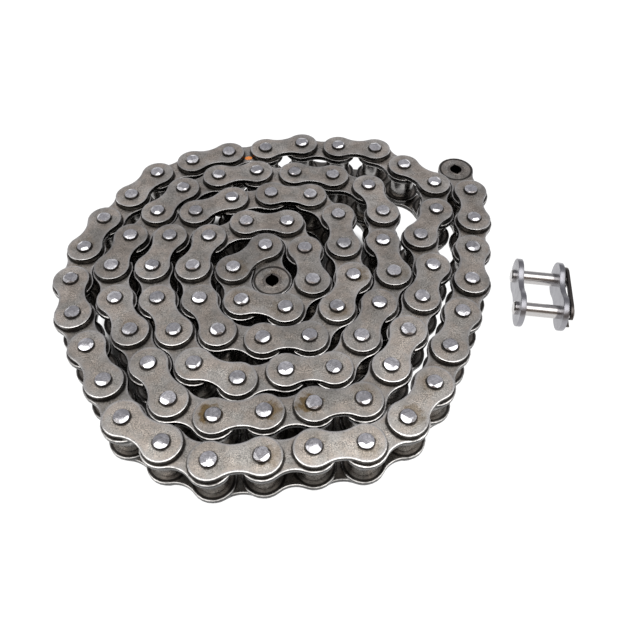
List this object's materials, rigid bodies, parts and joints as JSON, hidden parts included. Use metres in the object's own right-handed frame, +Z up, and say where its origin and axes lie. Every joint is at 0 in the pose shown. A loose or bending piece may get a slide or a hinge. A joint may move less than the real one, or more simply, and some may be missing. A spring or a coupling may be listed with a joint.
{
  "type": "roller chain",
  "caption": "Roller chain of hinged inner and outer links laid in a flat spiral coil, with a loose connecting link: riveted pins, cover plate and spring clip.",
  "frame": {"origin": "middle of the whole part's box, on the surface that the chain lies on", "axes": "+Z up, along every chain pin; +X from the coil towards the connecting link; +Y away from the viewer"},
  "size_m": [0.1946, 0.1618, 0.0207],
  "materials": {
    "outer_plate": "dull oiled steel with burnished edges",
    "inner_plate": "dull oiled steel, a little darker",
    "pin": "bright ground steel with staked ends",
    "bushing": "dark oiled steel",
    "roller": "dark glossy oiled steel",
    "nickel_plate": "bright nickel plating",
    "nickel_pin": "bright ground steel",
    "clip": "dark spring steel"
  },
  "bodies": {
    "coil": {"coil_outer_plates_top": "outer_plate", "coil_outer_plates_bottom": "outer_plate", "coil_inner_plates_top": "inner_plate", "coil_inner_plates_bottom": "inner_plate", "coil_pins": "pin", "coil_bushings": "bushing", "coil_rollers": "roller"},
    "tail_link_01": {"tail_01_inner_plates": "inner_plate", "tail_01_bushings": "bushing"},
    "tail_link_02": {"tail_02_outer_plates": "outer_plate", "tail_02_pins": "pin"},
    "tail_link_03": {"tail_03_inner_plates": "inner_plate", "tail_03_bushings": "bushing"},
    "tail_link_04": {"tail_04_outer_plates": "outer_plate", "tail_04_pins": "pin"},
    "tail_link_05": {"tail_05_inner_plates": "inner_plate", "tail_05_bushings": "bushing"},
    "tail_link_06": {"tail_06_outer_plates": "outer_plate", "tail_06_pins": "pin"},
    "tail_link_07": {"tail_07_inner_plates": "inner_plate", "tail_07_bushings": "bushing"},
    "tail_link_08": {"tail_08_outer_plates": "outer_plate", "tail_08_pins": "pin"},
    "tail_link_09": {"tail_09_inner_plates": "inner_plate", "tail_09_bushings": "bushing"},
    "tail_link_10": {"tail_10_outer_plates": "outer_plate", "tail_10_pins": "pin"},
    "tail_link_11": {"tail_11_inner_plates": "inner_plate", "tail_11_bushings": "bushing"},
    "tail_link_12": {"tail_12_outer_plates": "outer_plate", "tail_12_pins": "pin"},
    "tail_link_13": {"tail_13_inner_plates": "inner_plate", "tail_13_bushings": "bushing"},
    "tail_link_14": {"tail_14_outer_plates": "outer_plate", "tail_14_pins": "pin"},
    "tail_link_15": {"tail_15_inner_plates": "inner_plate", "tail_15_bushings": "bushing"},
    "tail_01_roller_a": {"tail_01_roller_a": "roller"},
    "tail_01_roller_b": {"tail_01_roller_b": "roller"},
    "tail_03_roller_a": {"tail_03_roller_a": "roller"},
    "tail_03_roller_b": {"tail_03_roller_b": "roller"},
    "tail_05_roller_a": {"tail_05_roller_a": "roller"},
    "tail_05_roller_b": {"tail_05_roller_b": "roller"},
    "tail_07_roller_a": {"tail_07_roller_a": "roller"},
    "tail_07_roller_b": {"tail_07_roller_b": "roller"},
    "tail_09_roller_a": {"tail_09_roller_a": "roller"},
    "tail_09_roller_b": {"tail_09_roller_b": "roller"},
    "tail_11_roller_a": {"tail_11_roller_a": "roller"},
    "tail_11_roller_b": {"tail_11_roller_b": "roller"},
    "tail_13_roller_a": {"tail_13_roller_a": "roller"},
    "tail_13_roller_b": {"tail_13_roller_b": "roller"},
    "tail_15_roller_a": {"tail_15_roller_a": "roller"},
    "tail_15_roller_b": {"tail_15_roller_b": "roller"},
    "connecting_link": {"connecting_pin_plate": "nickel_plate", "connecting_pin_near": "nickel_pin", "connecting_pin_far": "nickel_pin"},
    "connecting_cover_plate": {"connecting_cover_plate": "nickel_plate"},
    "connecting_spring_clip": {"connecting_spring_clip": "clip"}
  },
  "joints": [
    {"name": "tail_hinge_01", "type": "hinge", "parent": "coil", "child": "tail_link_01", "pos_m": [-0.07063, -0.04527, 0.01035], "axis": [0, 0, 1], "range_deg": [-30, 0]},
    {"name": "tail_hinge_02", "type": "hinge", "parent": "tail_link_01", "child": "tail_link_02", "pos_m": [-0.0625, -0.05891, 0.01035], "axis": [0, 0, 1], "range_deg": [-30, 0]},
    {"name": "tail_hinge_03", "type": "hinge", "parent": "tail_link_02", "child": "tail_link_03", "pos_m": [-0.04919, -0.06757, 0.01035], "axis": [0, 0, 1], "range_deg": [-30, 0]},
    {"name": "tail_hinge_04", "type": "hinge", "parent": "tail_link_03", "child": "tail_link_04", "pos_m": [-0.03451, -0.0736, 0.01035], "axis": [0, 0, 1], "range_deg": [-30, 0]},
    {"name": "tail_hinge_05", "type": "hinge", "parent": "tail_link_04", "child": "tail_link_05", "pos_m": [-0.01868, -0.07234, 0.01035], "axis": [0, 0, 1], "range_deg": [-30, 0]},
    {"name": "tail_hinge_06", "type": "hinge", "parent": "tail_link_05", "child": "tail_link_06", "pos_m": [-0.003, -0.0699, 0.01035], "axis": [0, 0, 1], "range_deg": [-30, 0]},
    {"name": "tail_hinge_07", "type": "hinge", "parent": "tail_link_06", "child": "tail_link_07", "pos_m": [0.01282, -0.06853, 0.01035], "axis": [0, 0, 1], "range_deg": [-30, 0]},
    {"name": "tail_hinge_08", "type": "hinge", "parent": "tail_link_07", "child": "tail_link_08", "pos_m": [0.02645, -0.06038, 0.01035], "axis": [0, 0, 1], "range_deg": [-30, 0]},
    {"name": "tail_hinge_09", "type": "hinge", "parent": "tail_link_08", "child": "tail_link_09", "pos_m": [0.03632, -0.04795, 0.01035], "axis": [0, 0, 1], "range_deg": [-30, 0]},
    {"name": "tail_hinge_10", "type": "hinge", "parent": "tail_link_09", "child": "tail_link_10", "pos_m": [0.04339, -0.03374, 0.01035], "axis": [0, 0, 1], "range_deg": [-30, 0]},
    {"name": "tail_hinge_11", "type": "hinge", "parent": "tail_link_10", "child": "tail_link_11", "pos_m": [0.04988, -0.01925, 0.01035], "axis": [0, 0, 1], "range_deg": [-30, 0]},
    {"name": "tail_hinge_12", "type": "hinge", "parent": "tail_link_11", "child": "tail_link_12", "pos_m": [0.0556, -0.00444, 0.01035], "axis": [0, 0, 1], "range_deg": [-30, 0]},
    {"name": "tail_hinge_13", "type": "hinge", "parent": "tail_link_12", "child": "tail_link_13", "pos_m": [0.05843, 0.01118, 0.01035], "axis": [0, 0, 1], "range_deg": [-30, 0]},
    {"name": "tail_hinge_14", "type": "hinge", "parent": "tail_link_13", "child": "tail_link_14", "pos_m": [0.06144, 0.02676, 0.01035], "axis": [0, 0, 1], "range_deg": [-30, 0]},
    {"name": "tail_hinge_15", "type": "hinge", "parent": "tail_link_14", "child": "tail_link_15", "pos_m": [0.06268, 0.04259, 0.01035], "axis": [0, 0, 1], "range_deg": [-30, 0]},
    {"name": "tail_01_roller_a_spin", "type": "hinge", "parent": "tail_link_01", "child": "tail_01_roller_a", "pos_m": [-0.07063, -0.04527, 0.01035], "axis": [0, 0, 1], "continuous": true},
    {"name": "tail_01_roller_b_spin", "type": "hinge", "parent": "tail_link_01", "child": "tail_01_roller_b", "pos_m": [-0.0625, -0.05891, 0.01035], "axis": [0, 0, 1], "continuous": true},
    {"name": "tail_03_roller_a_spin", "type": "hinge", "parent": "tail_link_03", "child": "tail_03_roller_a", "pos_m": [-0.04919, -0.06757, 0.01035], "axis": [0, 0, 1], "continuous": true},
    {"name": "tail_03_roller_b_spin", "type": "hinge", "parent": "tail_link_03", "child": "tail_03_roller_b", "pos_m": [-0.03451, -0.0736, 0.01035], "axis": [0, 0, 1], "continuous": true},
    {"name": "tail_05_roller_a_spin", "type": "hinge", "parent": "tail_link_05", "child": "tail_05_roller_a", "pos_m": [-0.01868, -0.07234, 0.01035], "axis": [0, 0, 1], "continuous": true},
    {"name": "tail_05_roller_b_spin", "type": "hinge", "parent": "tail_link_05", "child": "tail_05_roller_b", "pos_m": [-0.003, -0.0699, 0.01035], "axis": [0, 0, 1], "continuous": true},
    {"name": "tail_07_roller_a_spin", "type": "hinge", "parent": "tail_link_07", "child": "tail_07_roller_a", "pos_m": [0.01282, -0.06853, 0.01035], "axis": [0, 0, 1], "continuous": true},
    {"name": "tail_07_roller_b_spin", "type": "hinge", "parent": "tail_link_07", "child": "tail_07_roller_b", "pos_m": [0.02645, -0.06038, 0.01035], "axis": [0, 0, 1], "continuous": true},
    {"name": "tail_09_roller_a_spin", "type": "hinge", "parent": "tail_link_09", "child": "tail_09_roller_a", "pos_m": [0.03632, -0.04795, 0.01035], "axis": [0, 0, 1], "continuous": true},
    {"name": "tail_09_roller_b_spin", "type": "hinge", "parent": "tail_link_09", "child": "tail_09_roller_b", "pos_m": [0.04339, -0.03374, 0.01035], "axis": [0, 0, 1], "continuous": true},
    {"name": "tail_11_roller_a_spin", "type": "hinge", "parent": "tail_link_11", "child": "tail_11_roller_a", "pos_m": [0.04988, -0.01925, 0.01035], "axis": [0, 0, 1], "continuous": true},
    {"name": "tail_11_roller_b_spin", "type": "hinge", "parent": "tail_link_11", "child": "tail_11_roller_b", "pos_m": [0.0556, -0.00444, 0.01035], "axis": [0, 0, 1], "continuous": true},
    {"name": "tail_13_roller_a_spin", "type": "hinge", "parent": "tail_link_13", "child": "tail_13_roller_a", "pos_m": [0.05843, 0.01118, 0.01035], "axis": [0, 0, 1], "continuous": true},
    {"name": "tail_13_roller_b_spin", "type": "hinge", "parent": "tail_link_13", "child": "tail_13_roller_b", "pos_m": [0.06144, 0.02676, 0.01035], "axis": [0, 0, 1], "continuous": true},
    {"name": "tail_15_roller_a_spin", "type": "hinge", "parent": "tail_link_15", "child": "tail_15_roller_a", "pos_m": [0.06268, 0.04259, 0.01035], "axis": [0, 0, 1], "continuous": true},
    {"name": "tail_15_roller_b_spin", "type": "hinge", "parent": "tail_link_15", "child": "tail_15_roller_b", "pos_m": [0.05936, 0.05811, 0.01035], "axis": [0, 0, 1], "continuous": true},
    {"name": "connecting_link_lift", "type": "slide", "parent": "tail_link_12", "child": "connecting_link", "axis": [0, 0, 1], "range_m": [0, 0.03]},
    {"name": "cover_plate_float", "type": "slide", "parent": "connecting_link", "child": "connecting_cover_plate", "axis": [0.989, -0.1478, 0], "range_m": [0, 0.001]},
    {"name": "spring_clip_slide", "type": "slide", "parent": "connecting_link", "child": "connecting_spring_clip", "axis": [0.1478, 0.989, 0], "range_m": [0, 0.026]}
  ]
}
